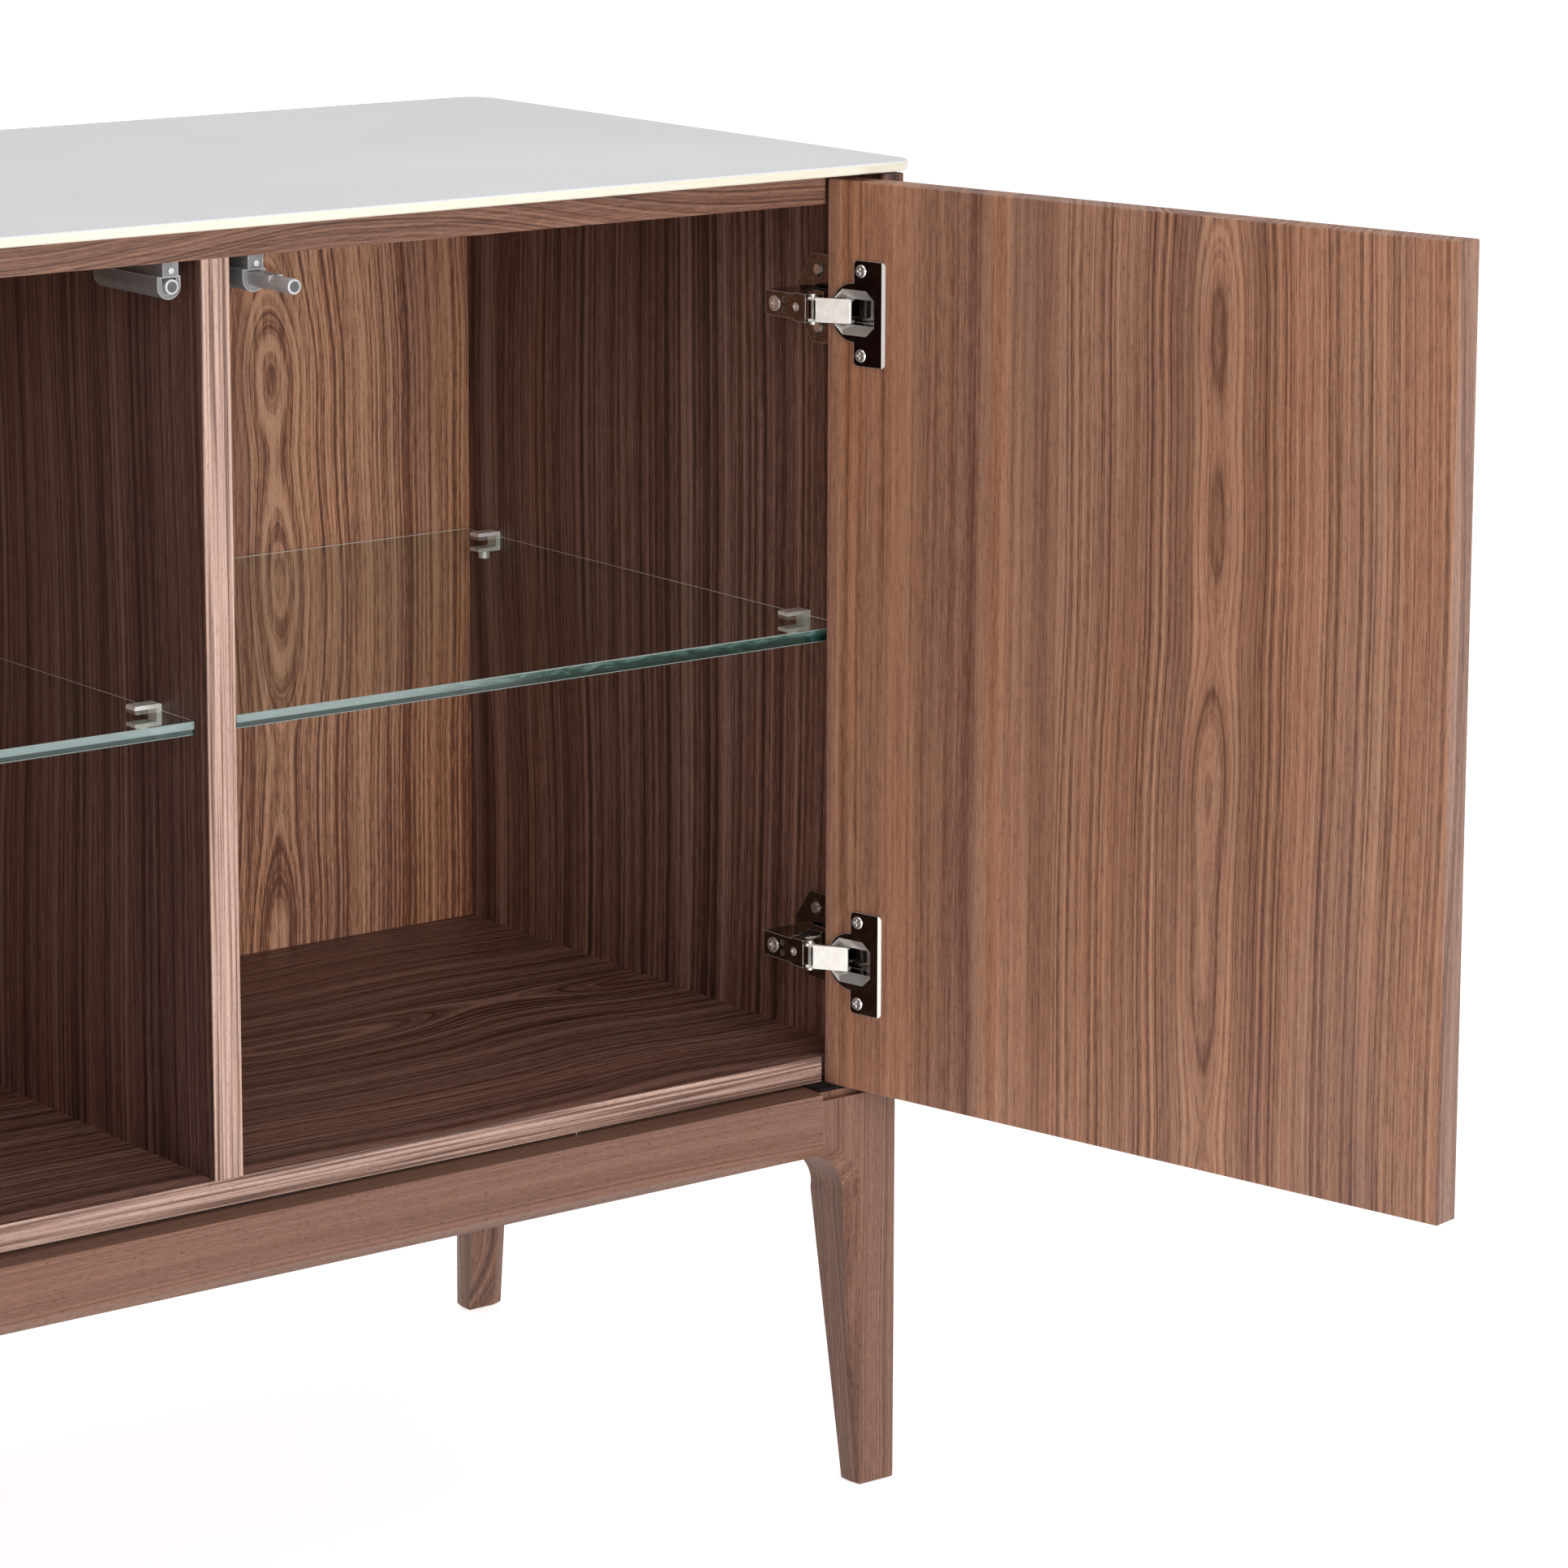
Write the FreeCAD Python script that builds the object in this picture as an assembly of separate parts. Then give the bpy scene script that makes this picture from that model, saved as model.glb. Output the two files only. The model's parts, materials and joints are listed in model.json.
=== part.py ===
import FreeCAD, Part
import math
import os

from FreeCAD import Vector

# Sideboard buffet: a two-door walnut cupboard on a separate four-legged base, with a
# glass top, glass shelves, concealed cup hinges and push latches.
# Millimetres. X runs to the right, Y from the front to the back, Z up. The origin is on the
# floor, under the middle of the cupboard's front edge, which is the front edge of the
# partition. While it is built, Y is the depth behind the front plane of the side panels,
# and save() brings everything forward to the origin.

# ---- driving dimensions ----
WIDTH = 960.0            # over the side panels
DEPTH = 462.0            # of the side panels
CARCASS_LOW = 264.0      # underside of the carcass
CARCASS_HIGH = 836.0     # top of the carcass
PANEL = 16.0             # side and floor panels
TOP_PANEL = 18.0
PARTITION = 19.0
BACK = 8.0
BACK_INSET = 2.0         # back panel in from the rear edge of the side panels
FRONT_INSET = 20.0       # floor, top and partition stand back to take the doors
NOTCH = (29.0, 8.0)      # corner notches of the floor and top panels, for the door swing

DOOR = (459.0, 19.0, 570.0)
DOOR_GAP = 2.5           # between a closed door and its side panel
DOOR_OPEN = 102.35       # degrees, as the object stands at rest
DOOR_AXIS = (-15.1, 7.0)  # virtual hinge axis from the inner front corner of the side panel
HINGE_HEIGHTS = (346.0, 753.5)

GLASS_TOP = (976.0, 479.0, 6.0)
TOP_OVERHANG = 7.0       # of the glass top in front of the side panels
TOP_RADIUS = 20.0
BUMPER = (7.0, 2.0)      # radius, thickness

SHELF = (8.0, 544.0)     # thickness, underside
SHELF_FRONT = 27.0
SHELF_BACK = 450.0
SHELF_GAP = 3.5
CLAMP_DEPTHS = (76.0, 420.0)

BASE = (957.0, 456.0)
RAIL_LOW = 220.0
RAIL_HIGH = 262.0
RAIL = 32.0
RAIL_BEVEL = 8.0
LEG = 58.0
FELT = 2.0

DOWEL = 3.95             # radius; its bore is 0.05 larger
BORE_PLAY = 0.05

LATCH_X = 28.0
LATCH_Z = 804.0
LATCH_STROKE = 39.5
LATCH_TIP = -19.0        # tip of the extended plunger, depth behind the front plane

SIDE = WIDTH / 2 - PANEL  # inner face of a side panel


def box(x0, x1, y0, y1, z0, z1):
    return Part.makeBox(x1 - x0, y1 - y0, z1 - z0, Vector(x0, y0, z0))


def rod(radius, start, end):
    a = Vector(*start)
    b = Vector(*end)
    return Part.makeCylinder(radius, (b - a).Length, a, b - a)


def prism(points, direction):
    wire = Part.makePolygon([Vector(*p) for p in points] + [Vector(*points[0])])
    return Part.Face(wire).extrude(Vector(*direction))


def mirror(shape):
    return shape.mirror(Vector(0, 0, 0), Vector(1, 0, 0))


def both_sides(shapes):
    return list(shapes) + [mirror(s) for s in shapes]


def moved(shape, x, y, z):
    other = shape.copy()
    other.translate(Vector(x, y, z))
    return other


def cut_all(shape, tools):
    for tool in tools:
        shape = shape.cut(tool)
    return shape


def fuse_all(shapes):
    shape = shapes[0]
    for other in shapes[1:]:
        shape = shape.fuse(other)
    return shape.removeSplitter()


def eased(shape, radius, wanted):
    edges = [e for e in shape.Edges if wanted(e)]
    return shape.makeFillet(radius, edges)


def along_z(edge):
    box_ = edge.BoundBox
    return box_.XLength < 1e-6 and box_.YLength < 1e-6


def along_y(edge):
    box_ = edge.BoundBox
    return box_.XLength < 1e-6 and box_.ZLength < 1e-6


def save(name, shapes):
    if not isinstance(shapes, list):
        shapes = [shapes]
    solids = [solid for shape in shapes for solid in shape.Solids]
    whole = solids[0] if len(solids) == 1 else Part.makeCompound(solids)
    whole.translate(Vector(0, -FRONT_INSET, 0))
    whole.exportStep("parts/" + name + ".step")


# ---- fasteners that the panels are bored for ----
DOWEL_DEPTHS = (60.0, 230.0, 400.0)


def carcass_dowels(radius):
    dowels = []
    for depth in DOWEL_DEPTHS:
        for z in (CARCASS_LOW + PANEL / 2, CARCASS_HIGH - TOP_PANEL / 2):
            dowels += both_sides([rod(radius, (SIDE - 18, depth, z), (SIDE + 12, depth, z))])
        dowels.append(rod(radius, (0, depth, 268), (0, depth, 298)))
        dowels.append(rod(radius, (0, depth, 800), (0, depth, 830)))
    return dowels


def base_dowels(radius):
    dowels = []
    half_x = BASE[0] / 2
    for z in (235.0, 251.0):
        for depth in (13.0, BASE[1] - 13.0):
            x = half_x - LEG
            dowels += both_sides([rod(radius, (x - 20, depth, z), (x + 20, depth, z))])
        for depth in (LEG, BASE[1] - LEG):
            x = half_x - 13.0
            dowels += both_sides([rod(radius, (x, depth - 20, z), (x, depth + 20, z))])
    return dowels


def back_screw_points():
    points = [(x, z) for x in (-400.0, -140.0, 140.0, 400.0) for z in (272.0, 827.0)]
    return points + [(0.0, z) for z in (400.0, 548.0, 700.0)]


def back_screws(radius, head):
    y = DEPTH - BACK_INSET
    screws = []
    for x, z in back_screw_points():
        screw = rod(radius, (x, y - 26, z), (x, y, z))
        if head:
            screw = screw.fuse(rod(3.5, (x, y, z), (x, y + 1.6, z)))
        screws.append(screw)
    return screws


def base_screws(radius, head):
    screws = []
    for x in (-250.0, 250.0):
        for y in (26.0, BASE[1] - 26.0):
            screw = rod(radius, (x, y, 225), (x, y, 276))
            if head:
                screw = screw.fuse(rod(4.5, (x, y, 222.5), (x, y, 225)))
            screws.append(screw)
    return screws


def clamp_pins(radius):
    pins = []
    for depth in CLAMP_DEPTHS:
        pins.append(rod(radius, (SIDE - 2, depth, 548), (SIDE + 8, depth, 548)))
        pins.append(rod(radius, (PARTITION / 2 - 8, depth, 548), (PARTITION / 2 + 2, depth, 548)))
    return both_sides(pins)


def plate_screws(radius, head):
    screws = []
    for z in HINGE_HEIGHTS:
        for step in (-18.0, 18.0):
            place = (SIDE - 2, 61.0, z + step)
            screw = rod(radius, place, (SIDE + 12, 61.0, z + step))
            if head:
                screw = screw.fuse(Part.makeCone(3.9, 3.2, 1.8, Vector(*place), Vector(-1, 0, 0)))
            screws.append(screw)
    return both_sides(screws)


# ---- carcass ----
def side_panel():
    panel = box(SIDE, WIDTH / 2, 0, DEPTH, CARCASS_LOW, CARCASS_HIGH)
    panel = eased(panel, 0.6, lambda e: along_z(e) or along_y(e))
    play = BORE_PLAY
    bores = carcass_dowels(DOWEL + play) + clamp_pins(1.5 + play) + plate_screws(1.9 + play, False)
    return cut_all(panel, [b for b in bores if b.BoundBox.XMax > SIDE + 1])


def flat_panel(z0, z1):
    panel = box(-SIDE, SIDE, FRONT_INSET, DEPTH - BACK_INSET - BACK, z0, z1)
    notch = box(SIDE - NOTCH[0], SIDE + 1, 0, FRONT_INSET + NOTCH[1], z0 - 1, z1 + 1)
    panel = panel.cut(notch).cut(mirror(notch))
    bores = carcass_dowels(DOWEL + BORE_PLAY) + back_screws(1.5 + BORE_PLAY, False)
    bores += base_screws(2.0 + BORE_PLAY, False)
    middle = (z0 + z1) / 2
    near = [b for b in bores if b.BoundBox.ZMin < z1 and b.BoundBox.ZMax > z0]
    return cut_all(panel, [b for b in near if abs(b.BoundBox.Center.z - middle) < 60])


def partition():
    low = CARCASS_LOW + PANEL
    high = CARCASS_HIGH - TOP_PANEL
    panel = box(-PARTITION / 2, PARTITION / 2, FRONT_INSET, DEPTH - BACK_INSET - BACK, low, high)
    panel = eased(panel, 0.6, lambda e: along_z(e) and e.BoundBox.YMin < FRONT_INSET + 1)
    bores = carcass_dowels(DOWEL + BORE_PLAY) + clamp_pins(1.5 + BORE_PLAY)
    bores += back_screws(1.5 + BORE_PLAY, False)
    return cut_all(panel, [b for b in bores if abs(b.BoundBox.Center.x) < 12])


def back_panel():
    y1 = DEPTH - BACK_INSET
    panel = box(-SIDE, SIDE, y1 - BACK, y1, CARCASS_LOW, CARCASS_HIGH)
    return cut_all(panel, back_screws(1.5 + BORE_PLAY, False))


def glass_top():
    width, depth, thick = GLASS_TOP
    z = CARCASS_HIGH + BUMPER[1]
    plate = box(-width / 2, width / 2, -TOP_OVERHANG, depth - TOP_OVERHANG, z, z + thick)
    plate = eased(plate, TOP_RADIUS, along_z)
    flats = [f for f in plate.Faces if f.BoundBox.ZLength < 1e-6]
    return plate.makeChamfer(0.7, [e for f in flats for e in f.Edges])


def top_bumpers():
    spots = [(-440, 40), (440, 40), (-440, 430), (440, 430), (0, 40), (0, 430)]
    z = CARCASS_HIGH
    return [rod(BUMPER[0], (x, y, z), (x, y, z + BUMPER[1])) for x, y in spots]


# ---- base ----
def front_rail():
    half = BASE[0] / 2 - LEG
    b = RAIL_BEVEL
    outline = [(-half, 0, RAIL_LOW + b), (-half, b, RAIL_LOW), (-half, RAIL, RAIL_LOW)]
    outline += [(-half, RAIL, RAIL_HIGH), (-half, 0, RAIL_HIGH)]
    return prism(outline, (2 * half, 0, 0))


def right_rail():
    x = BASE[0] / 2
    b = RAIL_BEVEL
    outline = [(x, LEG, RAIL_LOW + b), (x - b, LEG, RAIL_LOW), (x - RAIL, LEG, RAIL_LOW)]
    outline += [(x - RAIL, LEG, RAIL_HIGH), (x, LEG, RAIL_HIGH)]
    return prism(outline, (0, BASE[1] - 2 * LEG, 0))


def rear_of(shape):
    return shape.mirror(Vector(0, BASE[1] / 2, 0), Vector(0, 1, 0))


def bored_base(shape):
    bores = base_dowels(DOWEL + BORE_PLAY) + base_screws(2.0 + BORE_PLAY, False)
    for x in (-250.0, 250.0):
        for y in (26.0, BASE[1] - 26.0):
            bores.append(rod(4.6, (x, y, 219), (x, y, 225)))
    room = shape.BoundBox
    return cut_all(shape, [b for b in bores if room.intersect(b.BoundBox)])


def arch(points, middle):
    # closed outline of the space beside a leg: up the leg, round the curve, out and down
    foot, spring, crown, far = [Vector(*p) for p in points]
    curve = Part.Arc(spring, Vector(*middle), crown).toShape()
    low_far = Vector(far.x, far.y, foot.z)
    lines = [Part.makeLine(foot, spring), curve, Part.makeLine(crown, far)]
    lines += [Part.makeLine(far, low_far), Part.makeLine(low_far, foot)]
    return Part.Wire(lines)


def leg_front_right():
    # corner coordinates: u inwards from the outer side, v inwards from the front
    block = box(0, LEG, 0, LEG, 0, RAIL_HIGH)
    block = block.cut(box(-1, LEG + 1, -1, 5, RAIL_HIGH - 4, RAIL_HIGH + 1))
    over = LEG + 2
    b = RAIL_BEVEL
    outer = arch([(27, 0, -1), (27, 0, 194), (LEG, 0, 228), (over, 0, 228)], (36.1, 0, 218))
    inner = arch([(28.5, b, -1), (36, b, 190), (LEG, b, 220), (over, b, 220)], (42.4, b, 211.2))
    front = Part.makeLoft([outer, inner], True, True)
    front_on = Part.Face(inner).extrude(Vector(0, LEG, 0))
    outer = arch([(0, 13.9, -1), (0, 32, 190), (0, LEG, 228), (0, over, 228)], (0, 39.5, 215))
    inner = arch([(b, 16.9, -1), (b, 41, 188), (b, LEG, 220), (b, over, 220)], (b, 45.5, 208.4))
    side = Part.makeLoft([outer, inner], True, True)
    side_on = Part.Face(inner).extrude(Vector(LEG, 0, 0))
    leg = cut_all(block, [front, front_on, side, side_on])
    leg = eased(leg, 1.0, lambda e: along_z(e) and e.BoundBox.XMax < 1 and e.BoundBox.YMax < 1)
    leg = eased(leg, 1.5, lambda e: e.BoundBox.ZMax < 0.01)
    # u runs inwards, so the leg is turned over in X as it is put in its corner
    leg = mirror(leg)
    return moved(leg, BASE[0] / 2, 0, 0)


def felt_pads():
    x = BASE[0] / 2
    pad = box(x - LEG + 2, x - 2, 6, LEG - 2, RAIL_HIGH, RAIL_HIGH + FELT)
    return both_sides([pad, rear_of(pad)])


# ---- shelves ----
def shelf_right():
    x0 = PARTITION / 2 + SHELF_GAP
    x1 = SIDE - SHELF_GAP
    z0 = SHELF[1]
    plate = box(x0, x1, SHELF_FRONT, SHELF_BACK, z0, z0 + SHELF[0])
    plate = eased(plate, 3.0, lambda e: along_z(e) and e.BoundBox.YMin < SHELF_FRONT + 1)
    flats = [f for f in plate.Faces if f.BoundBox.ZLength < 1e-6]
    return plate.makeChamfer(0.6, [e for f in flats for e in f.Edges])


def clamp(x_wall, depth, inward):
    # a C-shaped holder against a wall; inward is -1 or +1 towards the glass
    z0 = SHELF[1]
    xs = sorted((x_wall, x_wall + 18 * inward))
    body = box(xs[0], xs[1], depth - 5, depth + 5, z0 - 2.5, z0 + SHELF[0] + 2.5)
    body = eased(body, 1.0, along_y)
    slot = sorted((x_wall + (SHELF_GAP - 0.1) * inward, x_wall + 20 * inward))
    body = body.cut(box(slot[0], slot[1], depth - 6, depth + 6, z0, z0 + SHELF[0]))
    x = x_wall + 10 * inward
    body = body.cut(rod(2.05, (x, depth, z0 - 4), (x, depth, z0)))
    pin_end = x_wall + 2 * inward
    return body.cut(rod(1.55, (x_wall, depth, 548), (pin_end, depth, 548)))


def clamp_screw(x_wall, depth, inward):
    z0 = SHELF[1]
    x = x_wall + 10 * inward
    knob = rod(3.75, (x, depth, z0 - 7.5), (x, depth, z0 - 2.5))
    knob = knob.makeFillet(0.5, [e for e in knob.Edges if len(e.Vertexes) == 1])
    return knob.fuse(rod(2.0, (x, depth, z0 - 2.5), (x, depth, z0)))


def at_clamps(make):
    made = []
    for depth in CLAMP_DEPTHS:
        made.append(make(SIDE, depth, -1))
        made.append(make(PARTITION / 2, depth, 1))
    return both_sides(made)


# ---- hinges: h coordinates, from the inner front corner of the right side panel ----
ARM_PIN = (-35.5, 24.0)
CUP_PIN = (12.65, 4.0)   # from the hinge edge, and into the door from its inner face
CUP_CENTRE = 21.8        # from the hinge edge
CUP_SCREW = (27.3, 26.0)


def turned(point, centre, degrees):
    a = math.radians(degrees)
    x = point[0] - centre[0]
    y = point[1] - centre[1]
    c = math.cos(a)
    s = math.sin(a)
    return (centre[0] + c * x - s * y, centre[1] + s * x + c * y)


DOOR_CORNER = turned((-DOOR_GAP, DOOR[1]), DOOR_AXIS, DOOR_OPEN)


def at_hinges(shape):
    return [moved(shape, SIDE, 0, z) for z in HINGE_HEIGHTS]


def on_open_door(shape):
    # door coordinates: X from the hinge edge, Y into the thickness from the inner face
    placed = shape.copy()
    placed.rotate(Vector(0, 0, 0), Vector(0, 0, 1), 180 + DOOR_OPEN)
    placed.translate(Vector(SIDE + DOOR_CORNER[0], DOOR_CORNER[1], 0))
    return placed


def at_cups(shape):
    return [moved(shape, 0, 0, z) for z in HINGE_HEIGHTS]


def cup_screw(radius, head):
    screws = []
    for z in (-CUP_SCREW[1], CUP_SCREW[1]):
        screw = rod(radius, (CUP_SCREW[0], -1.2, z), (CUP_SCREW[0], 12, z))
        if head:
            place = Vector(CUP_SCREW[0], -1.2, z)
            dome = Part.makeCone(4.0, 3.5, 0.8, place, Vector(0, -1, 0))
            cross = [box(CUP_SCREW[0] - 2.2, CUP_SCREW[0] + 2.2, -3, -1.4, z - 0.5, z + 0.5)]
            cross.append(box(CUP_SCREW[0] - 0.5, CUP_SCREW[0] + 0.5, -3, -1.4, z - 2.2, z + 2.2))
            screw = cut_all(screw.fuse(dome), cross)
        screws.append(screw)
    return screws


def door():
    panel = box(0, DOOR[0], 0, DOOR[1], CARCASS_LOW, CARCASS_LOW + DOOR[2])
    panel = panel.makeFillet(1.0, panel.Edges)
    cup = rod(17.55, (CUP_CENTRE, -1, 0), (CUP_CENTRE, 13.0, 0))
    tools = at_cups(cup)
    for bore in cup_screw(1.6 + BORE_PLAY, False):
        tools += at_cups(bore)
    return cut_all(panel, tools)


def octagon(s0, s1, half, corner, depth):
    c = (half - corner) * 1.1
    points = [(s0, -corner), (s0 + c, -half), (s1 - c, -half), (s1, -corner)]
    points += [(s1, corner), (s1 - c, half), (s0 + c, half), (s0, corner)]
    corners = [Vector(s, depth, z) for s, z in points]
    return Part.makePolygon(corners + [corners[0]])


def hinge_cup():
    bowl = rod(17.5, (CUP_CENTRE, 0, 0), (CUP_CENTRE, 13, 0))
    rim = rod(18.2, (CUP_CENTRE, -1.2, 0), (CUP_CENTRE, 0, 0))
    plate = box(CUP_CENTRE, 45.8, -1.2, 0, -32.5, 32.5)
    plate = eased(plate, 3.0, along_y)
    plate = plate.cut(prism([(43.2, -1.3, -34), (47, -1.3, -34), (47, -0.2, -34)], (0, 0, 68)))
    cup = fuse_all([bowl, rim, plate])
    mouth = [octagon(6.5, 37.5, 14, 8.2, -1.2), octagon(8.5, 34.5, 8.3, 7.7, 2.4)]
    funnel = Part.makeLoft(mouth, True, True)
    outline = [(5.6, -2, -8), (36.5, -2, -8), (36.5, -1.2, -8), (29.5, 12.2, -8), (5.6, 12.2, -8)]
    slot = prism(outline, (0, 0, 16))
    notch = box(0, 8, -2, 0, -8.2, 8.2)
    cup = cut_all(cup, [funnel, slot, notch])
    cup = cup.cut(rod(1.3, (CUP_PIN[0], CUP_PIN[1], -13), (CUP_PIN[0], CUP_PIN[1], 13)))
    return cut_all(cup, cup_screw(1.6 + BORE_PLAY, False))


def cup_pin():
    return rod(1.3, (CUP_PIN[0], CUP_PIN[1], -13), (CUP_PIN[0], CUP_PIN[1], 13))


def hinge_plate():
    outline = [(0, 50, -28), (0, 68, -28), (0, 83, -8), (0, 83, 8), (0, 68, 28), (0, 50, 28)]
    wing = prism(outline, (-2, 0, 0))
    wing = eased(wing, 3.0, lambda e: e.BoundBox.YLength < 1e-6 and e.BoundBox.ZLength < 1e-6)
    block = box(-10, -2, 46, 72, -6.2, 6.2)
    plate = fuse_all([wing, block])
    tools = []
    for z in (-18.0, 18.0):
        tools.append(box(-3, 1, 59, 63, z - 3, z + 3))
        tools.append(rod(2.0, (-3, 61, z - 3), (1, 61, z - 3)))
        tools.append(rod(2.0, (-3, 61, z + 3), (1, 61, z + 3)))
    tools.append(rod(2.05, (-11, 58, 0), (-3.5, 58, 0)))
    return cut_all(plate, tools)


def hinge_arm():
    web = box(-38.5, -37, 27.5, 68, -7.75, 7.75)
    low = box(-38.5, -5, 44, 68, -7.75, -6.25)
    high = box(-38.5, -5, 44, 68, 6.25, 7.75)
    slope = prism([(-5, 43, -9), (-5, 58, -9), (-30, 43, -9)], (0, 0, 18))
    nose = [(-38.5, 27.5, -8.8), (-38.5, 38, -8.8), (-38.5, 42, -6), (-38.5, 42, 6)]
    nose += [(-38.5, 38, 8.8), (-38.5, 27.5, 8.8)]
    block = prism(nose, (5.5, 0, 0))
    x, y = ARM_PIN
    tongue = box(x - 2.8, x + 2.5, y, 29, -5.9, 5.9).fuse(rod(2.8, (x, y, -5.9), (x, y, 5.9)))
    arm = fuse_all([web, low.cut(slope), high.cut(slope), block, tongue])
    tools = [rod(1.5, (x, y, -8.2), (x, y, 8.2))]
    tools.append(rod(2.05, (-40, 58, 0), (-36, 58, 0)))
    tools.append(rod(2.55, (-40, 37, 0), (-32, 37, 0)))
    tools.append(rod(1.6, (-40, 48.5, 3.4), (-36, 48.5, 3.4)))
    tools.append(rod(1.6, (-40, 48.5, -3.4), (-36, 48.5, -3.4)))
    return cut_all(arm, tools)


def arm_pin():
    x, y = ARM_PIN
    pin = rod(1.5, (x, y, -8.2), (x, y, 8.2))
    return fuse_all([pin, rod(2.1, (x, y, -9.4), (x, y, -8.2)), rod(2.1, (x, y, 8.2), (x, y, 9.4))])


def arm_screws():
    clamp_head = rod(4.75, (-39.3, 58, 0), (-38.5, 58, 0))
    clamp_ = clamp_head.fuse(rod(2.0, (-38.5, 58, 0), (-3.5, 58, 0)))
    adjust = rod(2.5, (-38.9, 37, 0), (-33.5, 37, 0))
    made = []
    for screw, y, x in ((clamp_, 58, -39.3), (adjust, 37, -38.9)):
        size = 2.6 if screw is clamp_ else 1.7
        cross = [box(x - 1, x + 0.7, y - size, y + size, -0.5, 0.5)]
        cross.append(box(x - 1, x + 0.7, y - 0.5, y + 0.5, -size, size))
        made.append(cut_all(screw, cross))
    return made


def hinge_link():
    # link coordinates: X from the arm pin to the cup pin, Y towards the inner side
    ear = rod(2.9, (0, 0, 6.05), (0, 0, 7.5))
    strip = prism([(0, -2.9, 6.05), (3.3, -4.2, 6.05), (26, -4.2, 6.05), (26, -1.8, 6.05),
                   (9, -1.8, 6.05), (3, -1, 6.05), (1, 2, 6.05)], (0, 0, 1.45))
    # the open slot leaves room for the cup pin to shift while the door swings
    hook = box(18.6, 26, -4.2, 3.6, 6.05, 7.5)
    hook = eased(hook, 1.0, lambda e: along_z(e) and e.BoundBox.YMin > 3)
    slot = [rod(2.35, (22.3, -0.05, 6), (22.3, -0.05, 8)), box(16.6, 22.3, -2.4, 2.3, 6, 8)]
    flange = fuse_all([ear, strip, hook]).cut(rod(1.55, (0, 0, 6), (0, 0, 8)))
    flange = cut_all(flange, slot)
    flange = flange.cut(box(-4, 0.5, -5, -2.4, 6, 8))
    web = box(3.3, 26, -4.2, -2.8, -7.5, 7.5)
    web = eased(web, 1.0, lambda e: along_z(e) and e.BoundBox.YMin < -4 and e.BoundBox.XMin > 20)
    low = moved(flange, 0, 0, -13.55)
    return fuse_all([flange, low, web])


def placed_link():
    # the link points from the arm pin to the cup pin of the open door
    door_turn = math.radians(180 + DOOR_OPEN)
    c = math.cos(door_turn)
    s = math.sin(door_turn)
    pin_x = DOOR_CORNER[0] + c * CUP_PIN[0] - s * CUP_PIN[1]
    pin_y = DOOR_CORNER[1] + s * CUP_PIN[0] + c * CUP_PIN[1]
    angle = math.degrees(math.atan2(pin_y - ARM_PIN[1], pin_x - ARM_PIN[0]))
    link = hinge_link()
    link.rotate(Vector(0, 0, 0), Vector(0, 0, 1), angle)
    link.translate(Vector(ARM_PIN[0], ARM_PIN[1], 0))
    return link


# ---- push latches, under the top panel ----
def channel(radius, top, y0, y1, x=LATCH_X):
    # round-bottomed bar along Y, flat on top
    z = LATCH_Z
    round_part = rod(radius, (x, y0, z), (x, y1, z))
    return fuse_all([round_part, box(x - radius, x + radius, y0, y1, z, z + top)])


def latch_housing():
    top = CARCASS_HIGH - TOP_PANEL - LATCH_Z
    shell = channel(7.5, 5.5, 24, 94)
    bridge = box(LATCH_X - 5, LATCH_X + 5, 24, 94, LATCH_Z + 5, LATCH_Z + top)
    tab = box(LATCH_X - 5, LATCH_X + 5, 22, 24, LATCH_Z + 5.4, LATCH_Z + top)
    shell = fuse_all([shell, bridge, tab])
    return shell.cut(channel(4.7, 4.7, 20, 92))


def latch_screw():
    z = LATCH_Z + 9
    shank = rod(1.2, (LATCH_X, 22, z), (LATCH_X, 23.9, z))
    return shank.fuse(rod(1.8, (LATCH_X, 21.2, z), (LATCH_X, 22, z)))


def latch_plunger(tip):
    rod_ = rod(4.5, (LATCH_X, tip, LATCH_Z), (LATCH_X, tip + 21, LATCH_Z))
    edge = [e for e in rod_.Edges if len(e.Vertexes) == 1 and e.BoundBox.YMax < tip + 1]
    rod_ = rod_.makeFillet(0.6, edge)
    carriage = channel(4.5, 4.4, tip + 20, tip + 67)
    bar = fuse_all([rod_, carriage])
    return bar.cut(rod(3.3, (LATCH_X, tip - 1, LATCH_Z), (LATCH_X, tip + 3, LATCH_Z)))


def latch_cap(tip):
    return rod(3.3, (LATCH_X, tip + 0.3, LATCH_Z), (LATCH_X, tip + 3, LATCH_Z))


def housing_screw_bored(shell):
    z = LATCH_Z + 9
    return shell.cut(rod(1.2, (LATCH_X, 21, z), (LATCH_X, 23.9, z)))


# ---- build and write ----
os.makedirs("parts", exist_ok=True)

right_panel = side_panel()
save("side_panel_right", right_panel.copy())
save("side_panel_left", mirror(right_panel))
save("floor_panel", flat_panel(CARCASS_LOW, CARCASS_LOW + PANEL))
save("top_panel", flat_panel(CARCASS_HIGH - TOP_PANEL, CARCASS_HIGH))
save("partition", partition())
save("back_panel", back_panel())
save("carcass_dowels", carcass_dowels(DOWEL))
save("back_screws", back_screws(1.5, True))
save("glass_top", glass_top())
save("top_bumpers", top_bumpers())

save("base_rail_front", bored_base(front_rail()))
save("base_rail_rear", bored_base(rear_of(front_rail())))
side_rail = bored_base(right_rail())
save("base_rail_right", side_rail.copy())
save("base_rail_left", mirror(side_rail))
front_leg = leg_front_right()
for name, leg in (("front", front_leg), ("rear", rear_of(front_leg))):
    leg = bored_base(leg)
    save("leg_" + name + "_right", leg.copy())
    save("leg_" + name + "_left", mirror(leg))
save("base_dowels", base_dowels(DOWEL))
save("base_screws", base_screws(2.0, True))
save("felt_pads", felt_pads())

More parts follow.
